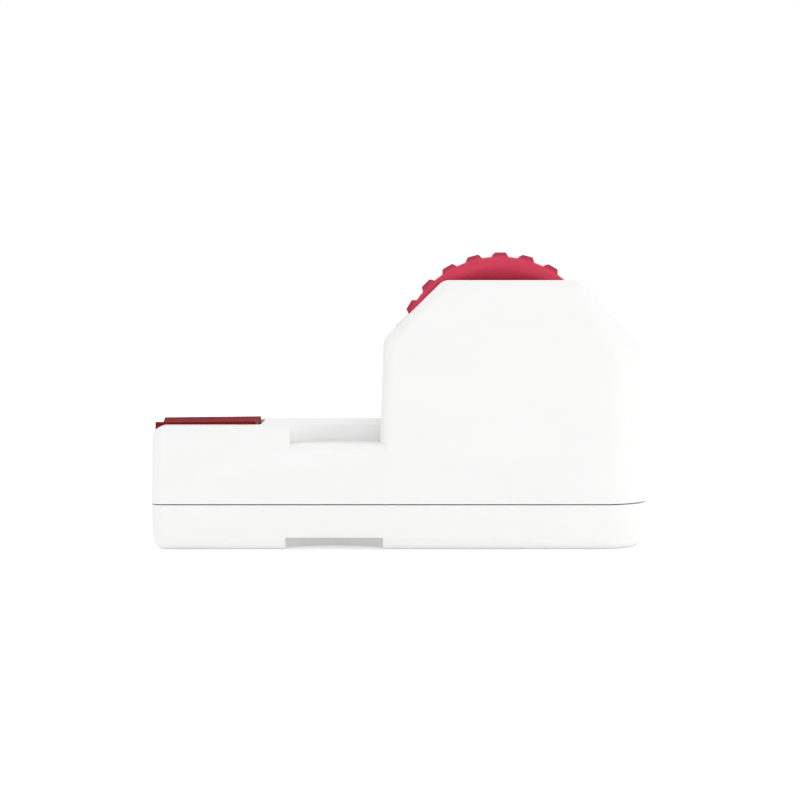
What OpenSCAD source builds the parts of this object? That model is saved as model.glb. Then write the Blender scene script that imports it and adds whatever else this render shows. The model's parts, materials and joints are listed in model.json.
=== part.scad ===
// Handheld bag heat sealer, in millimetres.
// Origin: centre of the case in plan, on its flat bottom. +X runs from the nose to the rear,
// -Y is the side where the bag's edge goes into the seam, +Z is up.

/* [Case] */
// Length of the case, measured along the seam
case_l = 132; // [131.5:0.1:133]
// Width of the case
case_w = 42; // [42:0.1:43]
// Height of the flat top of the nose
nose_h = 32.5; // [32.4:0.1:33]
// Height of the flat top of the dome
dome_h = 71; // [70.6:0.1:71.6]
// Height of the seam between the two housings
seam_z = 12; // [12:0.05:12.1]
// Gap of the seam, which the bag film slides through
seam_gap = 0.3; // [0.3:0.05:0.5]
// Wall thickness of both housings
wall = 2; // [1.8:0.1:2]

/* [Wheel] */
// Radius over the lugs of the thumb wheel
wheel_r = 28.4; // [28:0.1:28.6]
// Height of each lug above the rim
lug_h = 1.15; // [0.8:0.05:1.4]
// Number of lugs
lug_count = 24; // [18:1:30]
// Width of the thumb wheel
wheel_w = 11; // [9:0.5:11.5]
// Length along the case of the wheel's axis from the middle
axle_x = 26.7; // [26.5:0.1:27]
// Height of the wheel's axis
axle_z = 50.2; // [50:0.1:50.4]

/* [Gears] */
// Module of the gear teeth
gear_m = 1; // [0.99:0.005:1.01]
// Teeth of the drive gear on the wheel's axle
drive_teeth = 32; // [32:1:32]
// Teeth of the idler gear
idler_teeth = 16; // [16:1:16]
// Teeth of the feed pinion
pinion_teeth = 11; // [11:1:11]

/* [Press pad] */
// Length of the press pad
pad_l = 26.8; // [25:0.1:27]
// Width of the press pad
pad_w = 21; // [19:0.5:21]
// Travel of the press pad
press_travel = 1.1; // [0.8:0.05:1.1]

/* [Batteries] */
// Diameter of an AA cell
cell_d = 14.5; // [14:0.1:14.5]
// Length of an AA cell's body without its button
cell_l = 49.5; // [49:0.1:49.5]

/* [Hidden] */
$fn = 64;

// Case outline
front_x = -case_l / 2;
rear_x = case_l / 2;
half_w = case_w / 2;
upper_z = seam_z + seam_gap / 2;
lower_z = seam_z - seam_gap / 2;
edge_r = 3.2;
rear_r = 13;
base_r = 3.5;
hull_fn = 32;
sliver = 0.01;
end_draft = 1.9;
front_draft = 0.8;
side_draft = 0.6;
dome_x = -6.1;
front_slope = 59.7;
rear_slope = 117.9;
inner_y = half_w - wall;

// Grip recesses on the -Y side
grip_x = -29.2;
grip_floor = 28.1;
grip_edge_r = 2.2;
grip_mid_x = -13.3;
grip_r = 22.7;
grip_depth = 10.5;
toe_x = [-30.5, -4.7];
toe_z = 3.3;
toe_r = 19.1;
toe_depth = 10;

// Screw places: [x, y]
housing_holes = [[-59.6, 14.8], [-32, 15], [-36, -7], [59.5, -5.5], [59.5, 5.5]];
boss_r = 3.2;
chassis_boss_r = [2.8, 2.6];
guide_boss_r = 2.4;
board_boss_r = 2.2;
chassis_hole_r = 1.25;
chassis_far = [[20, 15.8], [46, 15.8]];
chassis_near = [[26, -16], [46, -16]];
nose_guide_hole = [-34.5, -15.8];
low_guide_holes = [[-35.5, -16], [30, -16], [48, -16]];
board_holes = [[-40.5, 8.4], [-9.5, 8.4], [-9.5, -0.4]];

// Film guides
guide_t = 1.5;
guide_x = [-63.6, 53];
strip_y = -11.7;
bay_rib = 1.3;
// Height range that cuts right through a guide or the board
through = [0, 20];

// Heater
heat_x = [-62, -41];
heat_y = [-18, -13.8];
carrier_plate = 2.5;
strip_t = 0.2;
film_t = 0.12;
// Left for the bag between the film cover and the silicone with the pad right down
bag_room = 0.13;
carrier_z = [lower_z + bag_room + press_travel + film_t + strip_t, 24.4];
strip_span_y = [-17.2, -14.6];
film_top = 18.5;
clamp_t = 0.5;
clamp_y = [-17, -14.8];
clamp_top = 19.5;
press_x = [-58.5, -46.5];
press_spring_r = 2.75;
press_wire = 0.28;
spring_seat_z = 26;
stem_r = 2;
stem_bore_r = 0.85;
slide_clear = 0.08;
anvil_x = [-61.6, -40.4];
anvil_y = [-18.2, -13.8];
anvil_z = [7, 8.8];

// Contacts that the pad closes
contact_x = -42.8;
contact_y = [2.6, 5.4];
contact_r = 0.9;
contact_pin_r = 0.5;
bridge_t = 0.2;
bridge_z = carrier_z[1] - carrier_plate - bridge_t;
contact_gap = press_travel + 0.1;
pad_z = [30.6, 33.1, 33.4];
pad_x = front_x + 0.2;
pad_gap = [1.4, 0.3];
pad_rim = 0.8;
dish_depth = 1.6;
pocket_z = 28.6;

// Shafts and planes of the gear train, as y ranges
gear_y = [-12.9, -10.4];
near_plate = [-10.1, -8.5];
far_plate = [8.5, 10.1];
hub_y = 7.9;
base_z = [17.6, 19.2];
axle_r = 2.5;
axle_y = [-14.2, 11.6];
axle_clip_y = [-13.6, 10.4];
axle_groove = 0.4;
axle_bush_r = 4;
clip_t = 0.5;
run_clear = 0.05;
shaft_r = 1.5;
shaft_groove = 0.3;
shaft_bush_r = 2.9;
idler_clip_y = [-13.6, -13.1];
feed_clip_y = [-5.8, -5.4];
wheel_hub_r = 6;
web_y = [2.5, 3];
lug_turn = 0.25;
feed_x = 6;
feed_r = 8;
feed_hub_r = 5.4;
pinch_r = 4.2;
pinch_pin_r = 1;
pinch_spring_r = 1.3;
pinch_wire = 0.22;
pinch_spring_at = [13.6, -15.9, 2];
arm_r = 2;
arm_web = [11.4, 16];
nip_gap = 0.05;
feed_z = seam_z + feed_r + nip_gap;
pinch_z = seam_z - pinch_r - nip_gap;
feed_y = [-18, -13.2];
pivot = [20, 5.5];
arm_y = [-18.4, -17.4, -14.4, -13.4];

// Batteries and their door
cell_y = [-4.3, 10.4];
cell_z = 2.15 + cell_d / 2;
bay_x = [-0.9, -0.9 + cell_l + 4.5];
plate_t = 0.4;
plate_half = 4.2;
plate_z = [4, 14.5];
cell_spring_r = 3.2;
cell_wire = 0.35;
button = [2.75, 1];
bay_wall = 1.2;
door_y = [-11.5, 17.5];
door_z = [0.25, 1.85];
hinge = [-2.6, 1.3];
door_end = 55.1;
door_lip = 1.4;
hinge_r = 0.85;
hinge_pin_r = 0.6;
grip_line = [45, 1.6, 0.8];

// Board
board_x = [-44, -6];
board_y = [-3, 11];
board_z = [14.6, 16.2];
lead_r = 0.45;
heater_lead_r = 0.4;

// Gear train geometry in the XZ plane
pressure = 25;
addendum = 0.85;
dedendum = 1.12;
backlash = 0.12;
function pitch_r(teeth) = teeth * gear_m / 2;
mesh_slack = 0.03;
ab = pitch_r(drive_teeth) + pitch_r(idler_teeth) + mesh_slack;
bc = pitch_r(idler_teeth) + pitch_r(pinion_teeth) + mesh_slack;
ac = norm([axle_x - feed_x, axle_z - feed_z]);
along = (bc * bc - ab * ab + ac * ac) / (2 * ac);
across = sqrt(bc * bc - along * along);
ca = [axle_x - feed_x, axle_z - feed_z] / ac;
idler = [feed_x + along * ca[0] - across * ca[1], feed_z + along * ca[1] + across * ca[0]];
drive_to_idler = atan2(idler[1] - axle_z, idler[0] - axle_x);
idler_to_pinion = atan2(feed_z - idler[1], feed_x - idler[0]);
// Turn of a gear that meshes with one of na teeth turned by pa, in the direction dir from it
function mesh_turn(dir, na, pa, nb) = dir + 180 - 180 / nb + (dir - pa) * na / nb;
idler_turn = mesh_turn(drive_to_idler, drive_teeth, 0, idler_teeth);
pinion_turn = mesh_turn(idler_to_pinion, idler_teeth, idler_turn, pinion_teeth);

// Involute tooth flank
function inv(a) = tan(a) * 180 / PI - a;
function flank(r, rb, half) = half + inv(pressure) - inv(acos(min(1, rb / r)));
function tooth(teeth, mid) =
    let (rp = pitch_r(teeth), rb = rp * cos(pressure), half = 90 / teeth - backlash / rp * 90 / PI)
    let (ra = rp + addendum * gear_m, rr = rp - dedendum * gear_m, rs = max(rb, rr))
    let (up = [for (i = [0:4]) rs + (ra - rs) * i / 4])
    concat(
        [[rr, mid - flank(rs, rb, half)]],
        [for (r = up) [r, mid - flank(r, rb, half)]],
        [for (i = [4:-1:0]) [up[i], mid + flank(up[i], rb, half)]],
        [[rr, mid + flank(rs, rb, half)]]
    );
function polar(p) = [p[0] * cos(p[1]), p[0] * sin(p[1])];

module gear_outline(teeth) {
    polygon([for (k = [0:teeth - 1]) for (p = tooth(teeth, k * 360 / teeth)) polar(p)]);
}

// Extrudes a shape drawn in X and Z from y = span[0] to y = span[1]
module along_y(span) {
    translate([0, span[1], 0]) rotate([90, 0, 0]) linear_extrude(span[1] - span[0]) children();
}

module rod_y(x, z, r, span) {
    translate([x, span[0], z]) rotate([-90, 0, 0]) cylinder(r = r, h = span[1] - span[0]);
}

module block(x, y, z) {
    translate([x[0], y[0], z[0]]) cube([x[1] - x[0], y[1] - y[0], z[1] - z[0]]);
}

function about(mid, half) = [mid - half, mid + half];

module post(p, r, z) {
    translate([p[0], p[1], z[0]]) cylinder(r = r, h = z[1] - z[0]);
}

// Coil of round wire about +Z, as one swept polyhedron
module coil(r, wire, height, turns, steps = 16, sides = 6) {
    count = turns * steps;
    rise = (height - 2 * wire) / count;
    rings = [
        for (i = [0:count]) for (s = [0:sides - 1])
            let (a = i * 360 / steps, b = s * 360 / sides, d = r + wire * cos(b))
            [d * cos(a), d * sin(a), wire + i * rise + wire * sin(b)]
    ];
    skin = [
        for (i = [0:count - 1]) for (s = [0:sides - 1])
            let (t = (s + 1) % sides, p = i * sides)
            [p + s, p + t, p + sides + t, p + sides + s]
    ];
    first = [for (s = [sides - 1:-1:0]) s];
    last = [for (s = [0:sides - 1]) count * sides + s];
    polyhedron(points = rings, faces = concat([first], skin, [last]), convexity = 10);
}

// Insulated wire through a list of points, as one swept polyhedron
function unit(v) = v / norm(v);
module wire(points, r, sides = 8) {
    last = len(points) - 1;
    side_hint = [1, -1, 0.3];
    rings = [
        for (i = [0:last])
            let (t = unit(points[min(i + 1, last)] - points[max(i - 1, 0)]))
            let (u = unit(cross(t, side_hint)), v = cross(t, u))
            for (s = [0:sides - 1]) points[i] + r * (cos(s * 360 / sides) * u + sin(s * 360 / sides) * v)
    ];
    skin = [
        for (i = [0:last - 1]) for (s = [0:sides - 1])
            let (t = (s + 1) % sides, p = i * sides)
            each [[p + t, p + s, p + sides + s], [p + t, p + sides + s, p + sides + t]]
    ];
    first = [for (s = [0:sides - 1]) s];
    end = [for (s = [sides - 1:-1:0]) last * sides + s];
    polyhedron(points = rings, faces = concat([first], skin, [end]), convexity = 10);
}

// A screw pointing up, with the top of its shank at z[2] and its head from z[0] to z[1]
module screw(p, z, head_r, shank_r) {
    difference() {
        union() {
            post(p, head_r, [z[0], z[1]]);
            post(p, shank_r, [z[1], z[2]]);
        }
        translate([p[0] - head_r * 0.7, p[1] - 0.25, z[0] - 0.1]) cube([head_r * 1.4, 0.5, 0.6]);
        translate([p[0] - 0.25, p[1] - head_r * 0.7, z[0] - 0.1]) cube([0.5, head_r * 1.4, 0.6]);
    }
}

// Solid outer form of the nose, inset by t and with its flat top at height top
module nose_form(t, top, r) {
    drop = t > 0 ? 1 : 0;
    rise = top - r - upper_z;
    hull() {
        for (s = [-1, 1]) {
            for (x = [front_x + r, 0]) {
                translate([x, s * (half_w - r), upper_z - drop])
                    cylinder(r = r - t, h = sliver + drop, $fn = hull_fn);
            }
            for (x = [front_x + rise * tan(front_draft) + r, 0]) {
                translate([x, s * (half_w - rise * tan(side_draft) - r), top - r])
                    sphere(r = r - t, $fn = hull_fn);
            }
        }
    }
}

// Solid outer form of the dome, inset by t
module dome_form(t) {
    drop = t > 0 ? 1 : 0;
    r = edge_r;
    low_z = front_slope + dome_x + 1.6 - 0.414 * r;
    front_in = (low_z - upper_z) * tan(end_draft);
    shoulder_x = rear_x - (low_z - 3 - upper_z) * tan(end_draft) - r;
    shoulder_z = rear_slope - r * sqrt(2) - shoulder_x;
    side = tan(side_draft);
    hull() {
        for (s = [-1, 1]) {
            translate([dome_x + r, s * (half_w - r), upper_z - drop])
                cylinder(r = r - t, h = sliver + drop, $fn = hull_fn);
            translate([rear_x - rear_r, s * (half_w - rear_r), upper_z - drop])
                cylinder(r = rear_r - t, h = sliver + drop, $fn = 2 * hull_fn);
            translate([dome_x + front_in + r, s * (half_w - (low_z - upper_z) * side - r), low_z])
                sphere(r = r - t, $fn = hull_fn);
            for (x = [dome_h - front_slope + 0.414 * r, rear_slope - dome_h - 0.414 * r]) {
                translate([x, s * (half_w - (dome_h - r - upper_z) * side - r), dome_h - r])
                    sphere(r = r - t, $fn = hull_fn);
            }
            translate([
                shoulder_x + r - rear_r,
                s * (half_w - (shoulder_z - upper_z) * side - rear_r),
                shoulder_z
            ])
                rotate_extrude($fn = 2 * hull_fn)
                    translate([rear_r - r, 0]) circle(r = r - t, $fn = hull_fn);
        }
    }
}

// Solid outer form of the lower housing, inset by t
module base_form(t) {
    lift = t > 0 ? 1 : 0;
    r = base_r;
    in = (lower_z - r) * tan(end_draft);
    front_in = (lower_z - r) * tan(front_draft);
    hull() {
        for (s = [-1, 1]) {
            translate([front_x + r, s * (half_w - r), lower_z - sliver])
                cylinder(r = r - t, h = sliver + lift, $fn = hull_fn);
            translate([rear_x - rear_r, s * (half_w - rear_r), lower_z - sliver])
                cylinder(r = rear_r - t, h = sliver + lift, $fn = 2 * hull_fn);
            translate([front_x + front_in + r, s * (half_w - in / 3 - r), r])
                sphere(r = r - t, $fn = hull_fn);
            translate([rear_x - in - rear_r, s * (half_w - in / 3 - rear_r), r])
                rotate_extrude($fn = 2 * hull_fn)
                    translate([rear_r - r, 0]) circle(r = r - t, $fn = hull_fn);
        }
    }
}

// Plan of the thumb recess on the nose, grown by t
module grip_plan(t) {
    intersection() {
        translate([grip_mid_x, grip_depth - half_w - grip_r]) circle(r = grip_r + t, $fn = 96);
        translate([grip_x - t, -half_w - 1]) square([-grip_x + t + 6, case_w]);
    }
}

// Plan of the finger recess under the nose, grown by t
module toe_plan(t) {
    intersection() {
        translate([(toe_x[0] + toe_x[1]) / 2, toe_depth - half_w - toe_r]) circle(r = toe_r + t, $fn = 96);
        translate([toe_x[0] - t, -half_w - 1]) square([toe_x[1] - toe_x[0] + 2 * t, case_w]);
    }
}

module upper_shell() {
    difference() {
        union() {
            difference() {
                nose_form(0, nose_h, edge_r);
                translate([0, 0, grip_floor - grip_edge_r]) linear_extrude(20) grip_plan(0);
            }
            intersection() {
                nose_form(0, grip_floor, grip_edge_r);
                translate([0, 0, grip_floor - grip_edge_r]) linear_extrude(20) grip_plan(0);
            }
            dome_form(0);
        }
        difference() {
            nose_form(wall, nose_h, edge_r);
            translate([0, 0, grip_floor - wall]) linear_extrude(20) grip_plan(wall);
        }
        dome_form(wall);
    }
}

module upper_housing() {
    color("white") difference() {
        union() {
            upper_shell();
            for (i = [0:2]) post(housing_holes[i], boss_r, [seam_z, nose_h - wall + 0.5]);
            for (i = [3:4]) {
                post(housing_holes[i], boss_r, [seam_z, 53]);
                block([59.5, 64.2], about(housing_holes[i][1], 0.8), [upper_z, 50]);
            }
            for (p = chassis_far) {
                post(p, chassis_boss_r[0], [base_z[1], 34]);
                block(about(p[0], 0.9), [p[1], inner_y + 0.5], [base_z[1], 34]);
            }
            for (p = chassis_near) {
                post(p, chassis_boss_r[1], [base_z[1], 31]);
                block(about(p[0], 0.9), [-inner_y - 0.5, p[1]], [base_z[1], 31]);
            }
            post(nose_guide_hole, guide_boss_r, [upper_z + guide_t, nose_h - wall + 0.5]);
            block(
                [front_x + 1.2, front_x + pad_l + 3.2],
                [-pad_w / 2 - 1.8, pad_w / 2 + 1.8],
                [pocket_z - wall, nose_h - wall + 0.5]
            );
            for (x = press_x) post([x, 0], 4.6, [24.6, pocket_z]);
        }
        block(
            [front_x - 1, pad_x + pad_l + pad_gap[0]],
            about(0, pad_w / 2 + pad_gap[1]),
            [pocket_z, nose_h + 5]
        );
        for (x = press_x) {
            post([x, 0], stem_r + slide_clear, [24, pocket_z + 0.1]);
            post([x, 0], 3.4, [spring_seat_z, pocket_z + 0.1]);
        }
        rod_y(axle_x, axle_z, wheel_r + 0.8, [-wheel_w / 2 - 0.8, wheel_w / 2 + 0.8]);
        for (p = housing_holes) post(p, 1.3, [seam_z - 1, 24]);
        for (p = chassis_far) post(p, 1.1, [base_z[1] - 1, 27]);
        for (p = chassis_near) post(p, 1.1, [base_z[1] - 1, 27]);
        post(nose_guide_hole, 1.1, [upper_z, 22]);
    }
}

module lower_housing() {
    lug_x = [hinge[0] - 1.9, bay_x[0]];
    bay_y = [strip_y - 0.1, inner_y + 0.5];
    color("white") difference() {
        union() {
            difference() {
                base_form(0);
                difference() {
                    base_form(wall);
                    linear_extrude(toe_z + wall) toe_plan(wall);
                }
            }
            for (p = housing_holes) post(p, boss_r, [1, seam_z]);
            for (p = low_guide_holes) post(p, guide_boss_r, [1, lower_z - guide_t]);
            for (p = board_holes) post(p, board_boss_r, [1, board_z[0]]);
            // Rib between the film slot and the inside
            block([front_x + 1.7, rear_x - 3.5], [strip_y - bay_rib, strip_y], [1.5, lower_z - guide_t]);
            // Seat of the anvil
            block(anvil_x, anvil_y + [-0.2, 0.2], [1, anvil_z[0]]);
            // End walls of the battery bay
            block([bay_x[0] - plate_t - bay_wall, bay_x[0] - plate_t], bay_y, [2, lower_z]);
            block([bay_x[1] + plate_t, bay_x[1] + plate_t + bay_wall], bay_y, [2, lower_z]);
            block(lug_x, bay_y, [1, 3.4]);
            block([bay_x[1], door_end + door_lip], bay_y, [1, 3.4]);
            // Cradle of the pinch arm's pivot
            block(about(pivot[0], 2), [-17.2, -14.6], [1, 7.2]);
        }
        translate([0, 0, -1]) linear_extrude(toe_z + 1) toe_plan(0);
        for (p = housing_holes) {
            post(p, 1.45, [0, seam_z + 1]);
            post(p, 2.6, [-1, 6]);
        }
        for (p = low_guide_holes) post(p, 0.9, [4, lower_z]);
        for (p = board_holes) post(p, 0.8, [6, board_z[0] + 1]);
        block(bay_x, [strip_y, door_y[1] + 0.3], [-1, 4]);
        block([hinge[0] - 1.3, door_end + 0.3], [door_y[0] - 0.2, door_y[1] + 0.3], [-1, 2.3]);
        rod_y(hinge[0], hinge[1], 0.68, [door_y[0] - 1.6, inner_y]);
        rod_y(pivot[0], pivot[1], pinch_pin_r, [-18, -14]);
        block(about(pivot[0], 0.9), [-18, -14], [pivot[1], 8]);
        // Fingernail scoop beside the door
        translate([door_end + 0.3, 0, -2.6]) sphere(r = 4, $fn = 48);
    }
}

module battery_door() {
    color("white") {
        difference() {
            union() {
                block([hinge[0], door_end], door_y, door_z);
                rod_y(hinge[0], hinge[1], hinge_r, door_y);
                rod_y(hinge[0], hinge[1], hinge_pin_r, [door_y[0] - 1.3, door_y[1] + 1.3]);
            }
            // Grip lines on the outside
            for (i = [0:4])
                let (x = grip_line[0] + grip_line[1] * i)
                    block([x, x + grip_line[2]], [-5, 11], [0, door_z[0] + 0.35]);
        }
    }
}

module thumb_wheel() {
    rim_r = wheel_r - lug_h;
    half = wheel_w / 2;
    section = [
        [axle_r, -hub_y], [wheel_hub_r, -hub_y], [wheel_hub_r + 0.6, -web_y[1]], [12, -web_y[0]],
        [18, -half + 1.9], [21.6, -half + 1.1], [23.6, -half + 0.35], [24.6, -half],
        [rim_r - 0.5, -half], [rim_r, -half + 0.5], [rim_r, half - 0.5], [rim_r - 0.5, half],
        [24.6, half], [23.6, half - 0.35], [21.6, half - 1.1], [18, half - 1.9], [12, web_y[0]],
        [wheel_hub_r + 0.6, web_y[1]], [wheel_hub_r, hub_y], [axle_r, hub_y]
    ];
    // Angle and radius of each corner of a lug
    lug_profile = [
        [-4.8, rim_r - 0.4], [-4.6, rim_r], [-3.1, wheel_r - 0.15], [-2.6, wheel_r],
        [2.6, wheel_r], [3.1, wheel_r - 0.15], [4.6, rim_r], [4.8, rim_r - 0.4]
    ];
    color("crimson") {
        translate([axle_x, 0, axle_z]) rotate([90, 0, 0]) rotate_extrude($fn = 128) polygon(section);
        for (k = [0:lug_count - 1])
            translate([axle_x, 0, axle_z]) rotate([0, lug_turn + k * 360 / lug_count, 0])
                along_y([-half + 0.35, half - 0.35]) polygon([
                    for (c = lug_profile) [c[1] * sin(c[0]), c[1] * cos(c[0])]
                ]);
    }
}

module wheel_axle() {
    color("silver") difference() {
        rod_y(axle_x, axle_z, axle_r, axle_y);
        for (y = axle_clip_y) difference() {
            rod_y(axle_x, axle_z, axle_r + 1, [y, y + clip_t]);
            rod_y(axle_x, axle_z, axle_r - axle_groove, [y - 1, y + 2]);
        }
    }
}

// Flanged bush on a shaft of radius r, in a plate that spans y, with its flange at f
module bush(x, z, r, outer, y, flange_r, f) {
    difference() {
        union() {
            rod_y(x, z, outer, y);
            rod_y(x, z, flange_r, f);
        }
        rod_y(x, z, r + run_clear, [y[0] - 1, y[1] + 1]);
    }
}

module wheel_bushes() {
    color("goldenrod") {
        bush(axle_x, axle_z, axle_r, axle_bush_r, [near_plate[0], -8.1], 5.2, [near_plate[1], -8.1]);
        bush(axle_x, axle_z, axle_r, axle_bush_r, [8.1, far_plate[1]], 5.2, [8.1, far_plate[0]]);
    }
}

// E-clip in the groove of a shaft
module clip(x, z, inner, outer, y) {
    difference() {
        rod_y(x, z, outer, y);
        rod_y(x, z, inner, [y[0] - 1, y[1] + 1]);
        block([x - inner * 0.9, x + inner * 0.9], [y[0] - 1, y[1] + 1], [z - outer - 1, z]);
    }
}

module axle_clips() {
    color("dimgray") for (y = axle_clip_y)
        clip(axle_x, axle_z, axle_r - axle_groove, 4.4, [y, y + clip_t]);
}

module spur(x, z, teeth, turn, bore, boss) {
    translate([x, 0, z]) difference() {
        union() {
            along_y(gear_y) rotate(turn) gear_outline(teeth);
            rod_y(0, 0, boss, [gear_y[0], gear_y[1] + 0.2]);
        }
        rod_y(0, 0, bore, [gear_y[0] - 1, gear_y[1] + 1]);
    }
}

module drive_gear() {
    color("white") difference() {
        spur(axle_x, axle_z, drive_teeth, 0, axle_r, 5);
        for (k = [0:5])
            translate([axle_x, 0, axle_z]) rotate([0, 30 + 60 * k, 0]) rod_y(9.4, 0, 2.9, gear_y + [-1, 1]);
    }
}

module idler_gear() {
    color("gold") spur(idler[0], idler[1], idler_teeth, idler_turn, shaft_r + run_clear, 3);
}

module idler_pin() {
    color("silver") difference() {
        union() {
            rod_y(idler[0], idler[1], shaft_r, [-14, near_plate[1]]);
            rod_y(idler[0], idler[1], 2.6, [near_plate[1], -7.9]);
        }
        difference() {
            rod_y(idler[0], idler[1], shaft_r + 1, idler_clip_y);
            rod_y(idler[0], idler[1], shaft_r - shaft_groove, [-14, -12]);
        }
    }
}

module idler_clip() {
    color("dimgray") clip(idler[0], idler[1], shaft_r - shaft_groove, 3, idler_clip_y);
}

module feed_shaft() {
    color("silver") difference() {
        rod_y(feed_x, feed_z, shaft_r, [-18.3, -5]);
        difference() {
            rod_y(feed_x, feed_z, shaft_r + 1, feed_clip_y);
            rod_y(feed_x, feed_z, shaft_r - shaft_groove, [-7, -4]);
        }
    }
}

module shaft_bush() {
    color("goldenrod")
        bush(feed_x, feed_z, shaft_r, shaft_bush_r, [near_plate[0], -6], 3.7, [near_plate[1], -7.8]);
}

module shaft_clip() {
    color("dimgray") clip(feed_x, feed_z, shaft_r - shaft_groove, 2.8, feed_clip_y);
}

module feed_pinion() {
    color("white") spur(feed_x, feed_z, pinion_teeth, pinion_turn, shaft_r, 2.6);
}

module feed_hub() {
    color("white") difference() {
        union() {
            rod_y(feed_x, feed_z, feed_hub_r, feed_y);
            rod_y(feed_x, feed_z, 3, [feed_y[0], feed_y[1] + 0.2]);
        }
        rod_y(feed_x, feed_z, shaft_r, [feed_y[0] - 1, feed_y[1] + 1]);
    }
}

module feed_tyre() {
    color("gray") difference() {
        rod_y(feed_x, feed_z, feed_r, feed_y);
        rod_y(feed_x, feed_z, feed_hub_r, [feed_y[0] - 1, feed_y[1] + 1]);
    }
}

module pinch_roller() {
    color("gray") difference() {
        rod_y(feed_x, pinch_z, pinch_r, [arm_y[1] + 0.1, arm_y[2] - 0.1]);
        rod_y(feed_x, pinch_z, pinch_pin_r + run_clear, [-20, -12]);
    }
}

module pinch_pin() {
    color("silver") rod_y(feed_x, pinch_z, pinch_pin_r, [arm_y[0], arm_y[3]]);
}

module pinch_arm() {
    dx = pivot[0] - feed_x;
    dz = pivot[1] - pinch_z;
    side = [-dz, dx] / norm([dx, dz]) * arm_r;
    color("gainsboro") difference() {
        union() {
            for (y = [[arm_y[0], arm_y[1]], [arm_y[2], arm_y[3]]]) {
                rod_y(feed_x, pinch_z, arm_r, y);
                rod_y(pivot[0], pivot[1], arm_r, y);
                along_y(y) polygon([
                    [feed_x, pinch_z] + side, [feed_x, pinch_z] - side, pivot - side, pivot + side
                ]);
            }
            block(arm_web, [arm_y[0], arm_y[3]], [6, 7.2]);
        }
        rod_y(feed_x, pinch_z, pinch_pin_r, [-20, -12]);
        rod_y(pivot[0], pivot[1], pinch_pin_r + run_clear, [-20, -12]);
    }
}

module arm_pivot() {
    color("silver") rod_y(pivot[0], pivot[1], pinch_pin_r, [-18.8, -13.1]);
}

module pinch_spring() {
    color("silver") translate(pinch_spring_at) coil(pinch_spring_r, pinch_wire, 4, 5);
}

module gear_chassis() {
    color("silver") difference() {
        union() {
            along_y(near_plate) {
                polygon([
                    [4, 17.3], [12, base_z[0]], [56, base_z[0]], [56, 22], [axle_x + 7, axle_z + 3],
                    [axle_x - 6, axle_z + 4], [idler[0] - 4, idler[1] + 2], [feed_x - 3.9, feed_z + 1]
                ]);
                translate([axle_x, axle_z]) circle(r = 7.6);
                translate(idler) circle(r = 4.2);
                translate([feed_x, feed_z]) circle(r = 4.1);
            }
            along_y(far_plate) {
                polygon([
                    [12, base_z[0]], [56, base_z[0]], [56, 22], [axle_x + 7, axle_z + 3],
                    [axle_x - 7, axle_z + 3], [12, 22]
                ]);
                translate([axle_x, axle_z]) circle(r = 7.6);
            }
            block([13, 56], [near_plate[0], far_plate[1]], base_z);
            for (p = chassis_far) {
                post(p, 3, base_z);
                block(about(p[0], 3), [far_plate[0], p[1]], base_z);
            }
            for (p = chassis_near) {
                post(p, 2.8, base_z);
                block(about(p[0], 2.8), [p[1], near_plate[1]], base_z);
            }
        }
        for (p = concat(chassis_far, chassis_near))
            post(p, chassis_hole_r, [base_z[0] - 1, base_z[1] + 1]);
        for (y = [near_plate, far_plate]) rod_y(axle_x, axle_z, axle_bush_r, y + [-1, 1]);
        rod_y(idler[0], idler[1], shaft_r, near_plate + [-1, 1]);
        rod_y(feed_x, feed_z, shaft_bush_r, near_plate + [-1, 1]);
    }
}

module upper_guide() {
    color("white") difference() {
        union() {
            block(guide_x, [-inner_y + 0.3, -12.4], [upper_z, upper_z + guide_t]);
            block(guide_x, [-12.4, strip_y], [lower_z + 0.05, upper_z + guide_t]);
            for (p = chassis_near) post(p, chassis_boss_r[1], [upper_z, base_z[0]]);
        }
        block([heat_x[0] - 0.9, heat_x[1] + 0.9], [heat_y[0] - 0.4, heat_y[1] + 0.6], through);
        block(about(feed_x, 6.9), [feed_y[0] - 0.3, strip_y + 1], through);
        for (p = chassis_near) {
            post(p, chassis_hole_r, through);
            post(p, 2.1, [0, upper_z + 1.5]);
        }
        post(nose_guide_hole, 1.2, through);
        post(nose_guide_hole, 2, [0, upper_z + 0.9]);
        post(housing_holes[2], boss_r + 0.3, through);
    }
}

module lower_guide() {
    color("white") difference() {
        block(guide_x, [-inner_y + 0.3, strip_y], [lower_z - guide_t, lower_z]);
        block(anvil_x + [-0.7, 0.7], anvil_y + [-0.4, 0.6], through);
        block(about(feed_x, 5), [arm_y[0] - 0.1, arm_y[3] + 0.1], through);
        for (p = low_guide_holes) {
            post(p, 1.1, through);
            post(p, 1.9, [lower_z - 0.9, through[1]]);
        }
    }
}

module press_pad() {
    end = pad_x + pad_l;
    chord = pad_w / 2 - pad_rim;
    dish_r = (chord * chord + dish_depth * dish_depth) / (2 * dish_depth);
    color("firebrick") {
        difference() {
            along_y(about(0, pad_w / 2))
                polygon([[pad_x, pad_z[0]], [end, pad_z[0]], [end, pad_z[2]], [pad_x, pad_z[1]]]);
            // Dish for the finger, parallel to the sloping top
            translate([pad_x, 0, pad_z[1] + dish_r - dish_depth])
                rotate([0, 90 - atan((pad_z[2] - pad_z[1]) / pad_l), 0])
                    translate([0, 0, -1]) cylinder(r = dish_r, h = pad_l + 2, $fn = 256);
        }
        for (x = press_x) difference() {
            post([x, 0], stem_r, [carrier_z[1], pad_z[0] + 0.1]);
            post([x, 0], stem_bore_r, [carrier_z[1] - 1, pad_z[0] - 1]);
        }
    }
}

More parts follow.
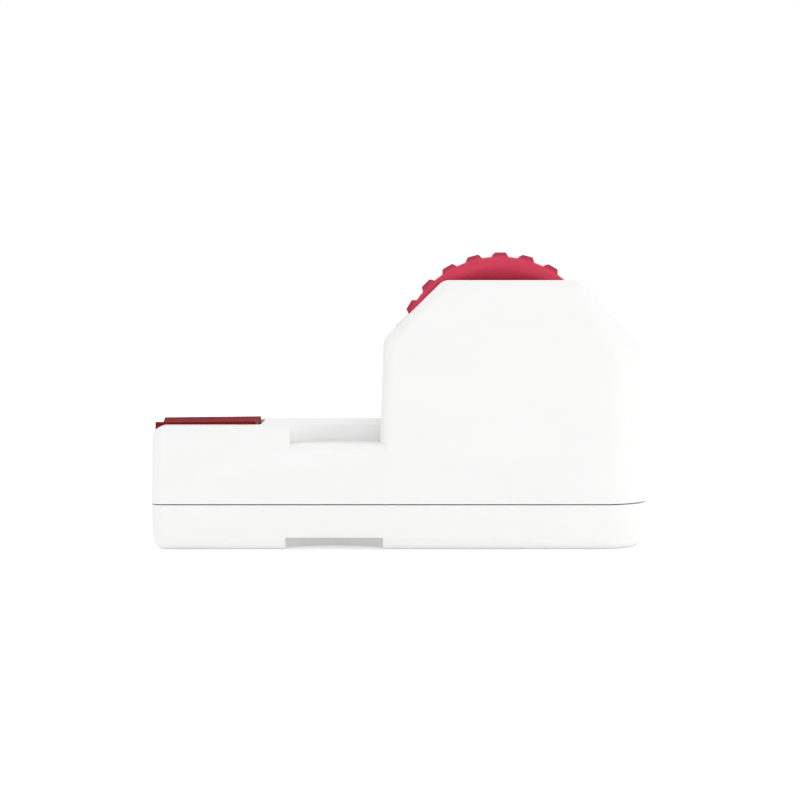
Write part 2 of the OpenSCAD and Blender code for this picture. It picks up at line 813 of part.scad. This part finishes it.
module heater_carrier() {
    top = carrier_z[1];
    color("saddlebrown") difference() {
        union() {
            block(heat_x, heat_y, carrier_z);
            block(heat_x, [heat_y[1] - 1, 6.6], [top - carrier_plate, top]);
        }
        for (x = press_x) post([x, 0], 1.05, [0, 40]);
    }
}

module heating_strip() {
    color("silver") block(heat_x, strip_span_y, [carrier_z[0] - strip_t, carrier_z[0]]);
}

module film_cover() {
    low = carrier_z[0] - strip_t - film_t;
    x = [heat_x[0] + 0.6, heat_x[1] - 0.6];
    color("tan") {
        block(x, [heat_y[0] - film_t, heat_y[1] + film_t], [low, low + film_t]);
        block(x, [heat_y[0] - film_t, heat_y[0]], [low, film_top]);
        block(x, [heat_y[1], heat_y[1] + film_t], [low, film_top]);
    }
}

module strip_clamps() {
    color("goldenrod") for (x = [heat_x[0] - clamp_t, heat_x[1]])
        block([x, x + clamp_t], clamp_y, [carrier_z[0] - strip_t, clamp_top]);
}

module press_springs() {
    color("silver") for (x = press_x) translate([x, 0, spring_seat_z])
        coil(press_spring_r, press_wire, pad_z[0] - spring_seat_z, 4);
}

module press_screws() {
    seat = carrier_z[1] - carrier_plate;
    color("silver") for (x = press_x) screw([x, 0], [seat - 1.4, seat, seat + 6.1], 1.9, stem_bore_r);
}

module contact_bridge() {
    color("goldenrod") block(
        about(contact_x, 1),
        [contact_y[0] - 1, contact_y[1] + 1],
        [bridge_z, bridge_z + bridge_t]
    );
}

module contact_posts() {
    color("goldenrod") for (y = contact_y) {
        post([contact_x, y], contact_r, [board_z[1], bridge_z - contact_gap]);
        post([contact_x, y], contact_pin_r, [board_z[0] - 0.8, board_z[1]]);
    }
}

module circuit_board() {
    color("green") difference() {
        block(board_x, board_y, board_z);
        for (p = board_holes) post(p, 1.1, through);
        for (y = contact_y) post([contact_x, y], contact_pin_r, through);
    }
}

module board_components() {
    top = board_z[1];
    color("black") {
        block([-27, -20.5], [2, 8], [top, top + 2.3]);
        block([-17.5, -14], [5, 8], [top, top + 1.2]);
        block([-35, -33], [4, 7.2], [top, top + 0.6]);
        post([-15.5, 1.2], 2.5, [top, top + 6.5]);
    }
}

module board_screws() {
    color("silver") for (p = board_holes) {
        mirror([0, 0, 1]) screw(p, [-board_z[1] - 1.3, -board_z[1], -8], 1.7, 0.75);
    }
}

module silicone_pad() {
    color("tomato") block(anvil_x, anvil_y, [anvil_z[1], lower_z]);
}

module anvil_bar() {
    color("silver") block(anvil_x, anvil_y, anvil_z);
}

// A cell along +X from x, or along -X from x when dir is -1
module cell(x, y, dir) {
    translate([x, y, cell_z]) rotate([0, dir * 90, 0]) {
        cylinder(d = cell_d, h = cell_l);
        translate([0, 0, cell_l]) cylinder(r = button[0], h = button[1]);
    }
}

module battery_cells() {
    color("darkslategray") {
        cell(bay_x[1] - button[1] - cell_l, cell_y[0], 1);
        cell(bay_x[0] + button[1] + cell_l, cell_y[1], -1);
    }
}

module battery_springs() {
    free = bay_x[1] - bay_x[0] - cell_l - button[1];
    color("silver") for (i = [0, 1])
        translate([bay_x[i], cell_y[i], cell_z]) rotate([0, 90 - 180 * i, 0])
            coil(cell_spring_r, cell_wire, free, 3);
}

module battery_plates() {
    far_y = [cell_y[0] - plate_half, cell_y[1] + plate_half];
    color("silver") {
        for (y = cell_y) block([bay_x[0] - plate_t, bay_x[0]], about(y, plate_half), plate_z);
        block([bay_x[1], bay_x[1] + plate_t], far_y, plate_z);
    }
}

module battery_leads() {
    for (i = [0, 1]) color(i == 0 ? "black" : "red") wire([
        [bay_x[0] - plate_t - lead_r, cell_y[i], 13], [-3.6, cell_y[i], 14.5], [-4, 1.5 + 3 * i, 18],
        [-7.2, 1.5 + 3 * i, 18.2], [-7.4, 1.5 + 3 * i, board_z[1] + 0.2]
    ], lead_r);
}

module heater_leads() {
    color("red") wire([
        [-40.05, -15.9, 19], [-39.95, -13, 19.6], [-40.3, -9, 18.6], [-40.6, -3.5, 18.2],
        [-40.8, -1.8, board_z[1] + 0.25]
    ], heater_lead_r);
    color("black") wire([
        [-62.95, -15.9, 19], [-62.95, -13, 19.6], [-60, -10.5, 19], [-48, -6, 19], [-43.4, -1.6, 17.8],
        [-43, -1.2, board_z[1] + 0.25]
    ], heater_lead_r);
}

module housing_screws() {
    color("silver") for (p = housing_holes) screw(p, [4.4, 6, 23], 2.3, 1.25);
}

module chassis_screws() {
    color("silver") for (p = chassis_far) screw(p, [16.2, 17.6, 26], 2, 1.05);
}

module guide_screws() {
    color("silver") {
        for (p = chassis_near) screw(p, [upper_z + 0.2, upper_z + 1.5, 26], 1.9, 1.05);
        screw(nose_guide_hole, [upper_z + 0.1, upper_z + 0.9, 21], 1.8, 1.05);
        for (p = low_guide_holes)
            mirror([0, 0, 1]) screw(p, [-lower_z + 0.1, -lower_z + 0.9, -5], 1.7, 0.85);
    }
}

upper_housing();
lower_housing();
battery_door();
thumb_wheel();
wheel_axle();
wheel_bushes();
axle_clips();
drive_gear();
idler_gear();
idler_pin();
idler_clip();
feed_shaft();
shaft_bush();
shaft_clip();
feed_pinion();
feed_hub();
feed_tyre();
pinch_roller();
pinch_pin();
pinch_arm();
arm_pivot();
pinch_spring();
gear_chassis();
upper_guide();
lower_guide();
press_pad();
heater_carrier();
heating_strip();
film_cover();
strip_clamps();
press_springs();
press_screws();
contact_bridge();
contact_posts();
circuit_board();
board_components();
board_screws();
silicone_pad();
anvil_bar();
battery_cells();
battery_springs();
battery_plates();
battery_leads();
heater_leads();
housing_screws();
chassis_screws();
guide_screws();
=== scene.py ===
"""Handheld bag heat sealer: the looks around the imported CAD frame."""

import json
import math

import bpy
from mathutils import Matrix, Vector


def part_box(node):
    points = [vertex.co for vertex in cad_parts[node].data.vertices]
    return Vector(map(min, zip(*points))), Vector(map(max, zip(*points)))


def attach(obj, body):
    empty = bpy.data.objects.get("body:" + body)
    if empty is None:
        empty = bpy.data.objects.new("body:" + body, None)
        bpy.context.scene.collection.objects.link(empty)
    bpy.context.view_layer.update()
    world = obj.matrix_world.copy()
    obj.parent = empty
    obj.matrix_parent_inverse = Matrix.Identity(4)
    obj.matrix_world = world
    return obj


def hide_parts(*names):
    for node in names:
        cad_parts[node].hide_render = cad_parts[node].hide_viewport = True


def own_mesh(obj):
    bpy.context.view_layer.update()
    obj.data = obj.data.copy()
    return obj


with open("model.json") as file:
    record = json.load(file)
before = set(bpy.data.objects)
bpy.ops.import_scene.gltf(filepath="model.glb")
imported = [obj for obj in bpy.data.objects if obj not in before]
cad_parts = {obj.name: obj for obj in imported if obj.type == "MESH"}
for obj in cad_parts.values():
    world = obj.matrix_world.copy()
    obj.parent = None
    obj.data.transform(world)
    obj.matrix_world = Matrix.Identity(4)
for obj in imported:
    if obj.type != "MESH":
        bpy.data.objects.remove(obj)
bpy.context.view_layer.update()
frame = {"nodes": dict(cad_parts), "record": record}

# Lengths are in metres and angles in degrees
LENS = 84.25
CAMERA_X = -0.00025
CAMERA_Z = 0.0657
CAMERA_TO_NEAR_FACE = 0.490
CAMERA_TILT_DOWN = 3.05

# The wheel's axle, and the radii between which painted shade comes onto its lugs and onto its dished face
AXLE = (0.0267, 0, 0.0502)
LUG_SHADE_RADII = (0.0271, 0.0278)
DISH_SHADE_RADII = (0.0216, 0.025)
# Share of the wheel's colour left under the painted shade on the lugs and on the dish
LUG_PAINTED_SHADE = 0.66
DISH_PAINTED_SHADE = 0.88

# Width of the rounding on each visible moulding's sharp edges
SOFT_EDGES = {
    "upper_housing": 0.00028,
    "lower_housing": 0.00025,
    "battery_door": 0.0002,
    "thumb_wheel": 0.0002,
    "press_pad": 0.00022,
}

# Node: the joint it shortens with, the height of its fixed end, and how far its other end travels
SHORTENED = {
    "press_springs": ("press_slide", 0.026, 0.0011),
    "heater_leads": ("press_slide", 0.0162, 0.0011),
    "pinch_spring": ("arm_swing", 0.002, 0.00036),
}

FLOOR_SIZE = 8
FLOOR_Z = -0.0001
FLOOR_GLOW = 0.27

# From low, from high, strength at low, strength at high, along each axis of the view direction:
# a little darker to the left and brighter overhead
WORLD_X = (-0.9, -0.3, 0.84, 1.0)
WORLD_Z = (0.25, 0.75, 1.0, 1.22)

# Name, place, size and power of each softbox, and the point that they face
LIGHTS = (
    ("key", (0.4, -0.8, 0.66), (0.5, 0.5), 0.22),
    ("right", (1.0, -0.3, 0.2), (0.4, 0.4), 0.65),
)
LIT_POINT = (0, 0, 0.03)


# ---------------------------------------------------------------- camera
def make_camera():
    """Looks along +Y from just under the dome's top, tilted down a little."""
    data = bpy.data.cameras.new("camera")
    data.sensor_width = 36
    data.lens = LENS
    data.clip_start = 0.01
    data.clip_end = 20
    camera = bpy.data.objects.new("camera", data)
    bpy.context.scene.collection.objects.link(camera)
    near_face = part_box("upper_housing")[0].y
    camera.location = (CAMERA_X, near_face - CAMERA_TO_NEAR_FACE, CAMERA_Z)
    camera.rotation_euler = (math.radians(90 - CAMERA_TILT_DOWN), 0, 0)
    bpy.context.scene.camera = camera


# ---------------------------------------------------------------- node helpers
class Tree:
    """A material's node tree, with short ways to add and join nodes."""

    def __init__(self, name):
        self.material = bpy.data.materials.new(name)
        self.material.use_nodes = True
        self.nodes = self.material.node_tree.nodes
        self.links = self.material.node_tree.links
        self.shader = self.nodes["Principled BSDF"]

    def add(self, kind, **settings):
        node = self.nodes.new(kind)
        for key, value in settings.items():
            setattr(node, key, value)
        return node

    def join(self, output, target):
        self.links.new(output, target)

    def place(self):
        """Coordinates in the row frame, in metres."""
        if not hasattr(self, "_place"):
            self._place = self.add("ShaderNodeTexCoord").outputs["Object"]
        return self._place

    def stretched(self, scale):
        mapping = self.add("ShaderNodeMapping")
        mapping.inputs["Scale"].default_value = scale
        self.join(self.place(), mapping.inputs["Vector"])
        return mapping.outputs["Vector"]

    def noise(self, size, detail=2.0, rough=0.5, scale=(1, 1, 1)):
        """Noise with features of about the given size, in metres."""
        node = self.add("ShaderNodeTexNoise")
        node.inputs["Scale"].default_value = 1 / size
        node.inputs["Detail"].default_value = detail
        node.inputs["Roughness"].default_value = rough
        self.join(self.stretched(scale), node.inputs["Vector"])
        return node.outputs["Fac"]

    def ramp(self, source, low, high, low_value, high_value):
        """Maps source from low..high to low_value..high_value."""
        node = self.add("ShaderNodeMapRange")
        node.inputs["From Min"].default_value = low
        node.inputs["From Max"].default_value = high
        node.inputs["To Min"].default_value = low_value
        node.inputs["To Max"].default_value = high_value
        self.join(source, node.inputs["Value"])
        return node.outputs["Result"]

    def mix(self, factor, a, b):
        node = self.add("ShaderNodeMix", data_type="RGBA")
        self.join(factor, node.inputs["Factor"])
        for socket, value in ((node.inputs["A"], a), (node.inputs["B"], b)):
            if isinstance(value, tuple):
                socket.default_value = (*value, 1)
            else:
                self.join(value, socket)
        return node.outputs["Result"]

    def tone(self, factor, colour, level):
        """Multiplies a colour by level where factor is 1."""
        node = self.add("ShaderNodeMix", data_type="RGBA", blend_type="MULTIPLY")
        self.join(factor, node.inputs["Factor"])
        self.join(colour, node.inputs["A"])
        node.inputs["B"].default_value = (level, level, level, 1)
        return node.outputs["Result"]

    def bump(self, height, distance, strength=1.0, below=None):
        node = self.add("ShaderNodeBump")
        node.inputs["Distance"].default_value = distance
        node.inputs["Strength"].default_value = strength
        self.join(height, node.inputs["Height"])
        if below is not None:
            self.join(below, node.inputs["Normal"])
        return node.outputs["Normal"]

    def set(self, **values):
        for key, value in values.items():
            self.shader.inputs[key.replace("_", " ")].default_value = value


def shade(colour, factor):
    return tuple(min(1.0, c * factor) for c in colour)


# ---------------------------------------------------------------- materials
def moulded_plastic(
    name, colour, rough, grain=0.00022, depth=0.000006, flow_mark=0.03, painted_shade=None, gloss=0.5
):
    """Injection-moulded plastic: spark-eroded grain, faint flow marks and uneven gloss."""
    t = Tree(name)
    flow = t.ramp(t.noise(0.02, 3, 0.5, (0.6, 1, 1.6)), 0.3, 0.7, 0, 1)
    mottled = t.mix(flow, shade(colour, 1 - flow_mark), shade(colour, 1 + flow_mark / 2))
    # An optional pass that paints shade into the colour
    if painted_shade:
        mottled = painted_shade(t, mottled)
    t.join(mottled, t.shader.inputs["Base Color"])
    t.set(Specular_IOR_Level=gloss)
    wear = t.noise(0.006, 4, 0.6)
    t.join(t.ramp(wear, 0.3, 0.7, rough - 0.04, rough + 0.05), t.shader.inputs["Roughness"])
    fine = t.noise(grain, 2, 0.6)
    waves = t.noise(0.009, 1, 0.4)
    normal = t.bump(waves, 0.00004, 0.25)
    t.join(t.bump(fine, depth, 0.6, normal), t.shader.inputs["Normal"])
    return t


def brushed_metal(name, colour, rough, along=(30, 1, 1), metallic=1.0):
    """Drawn or ground metal: fine lines across the long way, with stains."""
    t = Tree(name)
    lines = t.noise(0.0015, 4, 0.7, along)
    stain = t.noise(0.008, 3, 0.6)
    stained = t.mix(t.ramp(stain, 0.35, 0.7, 0, 1), colour, shade(colour, 0.82))
    t.join(stained, t.shader.inputs["Base Color"])
    t.join(t.ramp(lines, 0.3, 0.7, rough - 0.07, rough + 0.1), t.shader.inputs["Roughness"])
    t.join(t.bump(lines, 0.00001, 0.5), t.shader.inputs["Normal"])
    t.set(Metallic=metallic)
    return t


def silicone(name, colour):
    """Matt silicone rubber with a fine skin and dust in its pores."""
    t = Tree(name)
    dust = t.noise(0.003, 4, 0.7)
    dusted = t.mix(t.ramp(dust, 0.45, 0.75, 0, 1), colour, shade(colour, 1.35))
    t.join(dusted, t.shader.inputs["Base Color"])
    t.join(t.ramp(dust, 0.3, 0.7, 0.6, 0.78), t.shader.inputs["Roughness"])
    t.join(t.bump(t.noise(0.0003, 3, 0.6), 0.00002, 0.6), t.shader.inputs["Normal"])
    return t


def woven_film(name, colour):
    """Woven glass under a smooth resin: a fine grid of threads."""
    t = Tree(name)
    warp = t.add("ShaderNodeTexWave", bands_direction="X")
    weft = t.add("ShaderNodeTexWave", bands_direction="Y")
    for wave in (warp, weft):
        wave.inputs["Scale"].default_value = 900
        t.join(t.place(), wave.inputs["Vector"])
    both = t.add("ShaderNodeMath", operation="MULTIPLY")
    t.join(warp.outputs["Fac"], both.inputs[0])
    t.join(weft.outputs["Fac"], both.inputs[1])
    woven = t.mix(both.outputs["Value"], shade(colour, 0.8), shade(colour, 1.2))
    t.join(woven, t.shader.inputs["Base Color"])
    t.join(t.bump(both.outputs["Value"], 0.00002, 0.5), t.shader.inputs["Normal"])
    t.set(Roughness=0.35)
    return t


def circuit_green(name, colour):
    """Solder resist over copper tracks, as a lattice of paler lines."""
    t = Tree(name)
    cells = t.add("ShaderNodeTexBrick")
    cells.inputs["Scale"].default_value = 180
    cells.inputs["Mortar Size"].default_value = 0.06
    t.join(t.place(), cells.inputs["Vector"])
    t.join(t.mix(cells.outputs["Fac"], colour, shade(colour, 1.9)), t.shader.inputs["Base Color"])
    t.join(t.bump(cells.outputs["Fac"], 0.00003, 0.6), t.shader.inputs["Normal"])
    t.set(Roughness=0.28)
    return t


def painted_wheel_shade(t, colour):
    """Paints shade into the wheel's colour by its distance from the axle: lugs darkest, then the dish, then
    the rim unshaded.
    """
    parts = t.add("ShaderNodeSeparateXYZ")
    t.join(t.place(), parts.inputs["Vector"])
    flat = t.add("ShaderNodeCombineXYZ")
    t.join(parts.outputs["X"], flat.inputs["X"])
    t.join(parts.outputs["Z"], flat.inputs["Z"])
    away = t.add("ShaderNodeVectorMath", operation="DISTANCE")
    t.join(flat.outputs["Vector"], away.inputs[0])
    away.inputs[1].default_value = AXLE
    radius = away.outputs["Value"]
    lug_shade = t.ramp(radius, *LUG_SHADE_RADII, 0, 1)
    dish_shade = t.ramp(radius, *DISH_SHADE_RADII, 1, 0)
    dish_shaded = t.tone(dish_shade, colour, DISH_PAINTED_SHADE)
    return t.tone(lug_shade, dish_shaded, LUG_PAINTED_SHADE)


def make_materials():
    """One material for each material slot of the record."""
    base = {m["slot"]: tuple(m["base_color"][:3]) for m in frame["record"]["materials"]}
    return {
        "white_case": moulded_plastic("white_case", (0.778, 0.778, 0.774), 0.42, flow_mark=0.012),
        # The wheel's colour carries painted shade on its lugs and on its dished face
        "crimson_wheel": moulded_plastic(
            "crimson_wheel", (0.6, 0.032, 0.08), 0.45, flow_mark=0.08, painted_shade=painted_wheel_shade, gloss=0.35
        ),
        "dark_red_pad": moulded_plastic(
            "dark_red_pad", (0.2, 0.006, 0.012), 0.55, flow_mark=0.12, gloss=0.08
        ),
        "white_gear": moulded_plastic("white_gear", base["white_gear"], 0.34),
        "amber_gear": moulded_plastic("amber_gear", base["amber_gear"], 0.36, flow_mark=0.08),
        "brown_resin": moulded_plastic("brown_resin", base["brown_resin"], 0.5, flow_mark=0.2),
        "component_black": moulded_plastic("component_black", base["component_black"], 0.45, flow_mark=0.1),
        "cell_sleeve": moulded_plastic("cell_sleeve", base["cell_sleeve"], 0.22, flow_mark=0.1),
        "lead_insulation": moulded_plastic("lead_insulation", base["lead_insulation"], 0.35, flow_mark=0.1),
        "grey_silicone": silicone("grey_silicone", base["grey_silicone"]),
        "red_silicone": silicone("red_silicone", base["red_silicone"]),
        "film_cloth": woven_film("film_cloth", base["film_cloth"]),
        "steel": brushed_metal("steel", base["steel"], 0.3),
        "plated_steel": brushed_metal("plated_steel", base["plated_steel"], 0.18),
        "zinc_screw": brushed_metal("zinc_screw", base["zinc_screw"], 0.32, (4, 4, 1)),
        "dark_steel": brushed_metal("dark_steel", base["dark_steel"], 0.4),
        "bar_aluminium": brushed_metal("bar_aluminium", base["bar_aluminium"], 0.33, (1, 30, 1)),
        "brass_contact": brushed_metal("brass_contact", base["brass_contact"], 0.25),
        "sintered_bronze": brushed_metal("sintered_bronze", base["sintered_bronze"], 0.48, (3, 3, 3)),
        "board_green": circuit_green("board_green", base["board_green"]),
    }


def soften(node, width, segments=3, angle=38):
    """Rounds a CAD node's sharp edges a little, as a mould leaves them, and shades it smoothly."""
    piece = frame["nodes"][node]
    for polygon in piece.data.polygons:
        polygon.use_smooth = True
    weld = piece.modifiers.new("weld", "WELD")
    weld.merge_threshold = 0.000002
    flat = piece.modifiers.new("flat", "DECIMATE")
    flat.decimate_type = "DISSOLVE"
    flat.angle_limit = math.radians(0.5)
    bevel = piece.modifiers.new("bevel", "BEVEL")
    bevel.width = width
    bevel.segments = segments
    bevel.limit_method = "ANGLE"
    bevel.angle_limit = math.radians(angle)
    bevel.harden_normals = True
    bevel.use_clamp_overlap = True


def dress_nodes():
    """Gives every CAD node its slot's material."""
    materials = make_materials()
    slots = {s["node"]: s["material_slot"] for s in frame["record"]["subparts"]}
    for node, piece in frame["nodes"].items():
        material = materials[slots[node]].material
        if not piece.material_slots:
            piece.data.materials.append(material)
        for entry in piece.material_slots:
            entry.material = material


def shorten(node):
    """Shows a copy of a spring or lead, fastened to the case, in place of the CAD node."""
    source = frame["nodes"][node]
    piece = bpy.data.objects.new(node + "_flexed", source.data.copy())
    bpy.context.scene.collection.objects.link(piece)
    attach(piece, "case")
    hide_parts(node)
    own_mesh(piece)


# ---------------------------------------------------------------- studio
def make_floor():
    """A pale floor just below the case's flat bottom, so that the two faces don't coincide."""
    bpy.ops.mesh.primitive_plane_add(size=FLOOR_SIZE, location=(0, 0, FLOOR_Z))
    floor = bpy.context.object
    floor.name = "floor"
    t = Tree("floor")
    t.set(Base_Color=(0.9, 0.9, 0.9, 1), Roughness=0.9)
    t.shader.inputs["Emission Color"].default_value = (1, 1, 1, 1)
    t.shader.inputs["Emission Strength"].default_value = FLOOR_GLOW
    floor.data.materials.append(t.material)


def make_light(name, place, target, size, power):
    data = bpy.data.lights.new(name, "AREA")
    data.shape = "RECTANGLE"
    data.size, data.size_y = size
    data.energy = power
    light = bpy.data.objects.new(name, data)
    light.location = place
    light.rotation_euler = (Vector(target) - Vector(place)).to_track_quat("-Z", "Y").to_euler()
    bpy.context.scene.collection.objects.link(light)


def make_studio():
    """White surroundings, with a key softbox at the front right and a fill from the right."""
    scene = bpy.context.scene
    scene.view_settings.view_transform = "Standard"
    world = bpy.data.worlds.new("studio")
    world.use_nodes = True
    background = world.node_tree.nodes["Background"]
    background.inputs["Color"].default_value = (1, 1, 1, 1)
    add = world.node_tree.nodes.new
    join = world.node_tree.links.new
    place = add("ShaderNodeTexCoord")
    parts = add("ShaderNodeSeparateXYZ")
    join(place.outputs["Generated"], parts.inputs["Vector"])
    both = add("ShaderNodeMath")
    both.operation = "MULTIPLY"
    for slot, (axis, span) in enumerate((("X", WORLD_X), ("Z", WORLD_Z))):
        ramp = add("ShaderNodeMapRange")
        for key, value in zip(("From Min", "From Max", "To Min", "To Max"), span):
            ramp.inputs[key].default_value = value
        join(parts.outputs[axis], ramp.inputs["Value"])
        join(ramp.outputs["Result"], both.inputs[slot])
    join(both.outputs["Value"], background.inputs["Strength"])
    scene.world = world
    for name, light_place, size, power in LIGHTS:
        make_light(name, light_place, LIT_POINT, size, power)


make_camera()
dress_nodes()
for softened, radius in SOFT_EDGES.items():
    soften(softened, radius)
for shortened, (joint, fixed_z, travel) in SHORTENED.items():
    shorten(shortened)
make_floor()
make_studio()
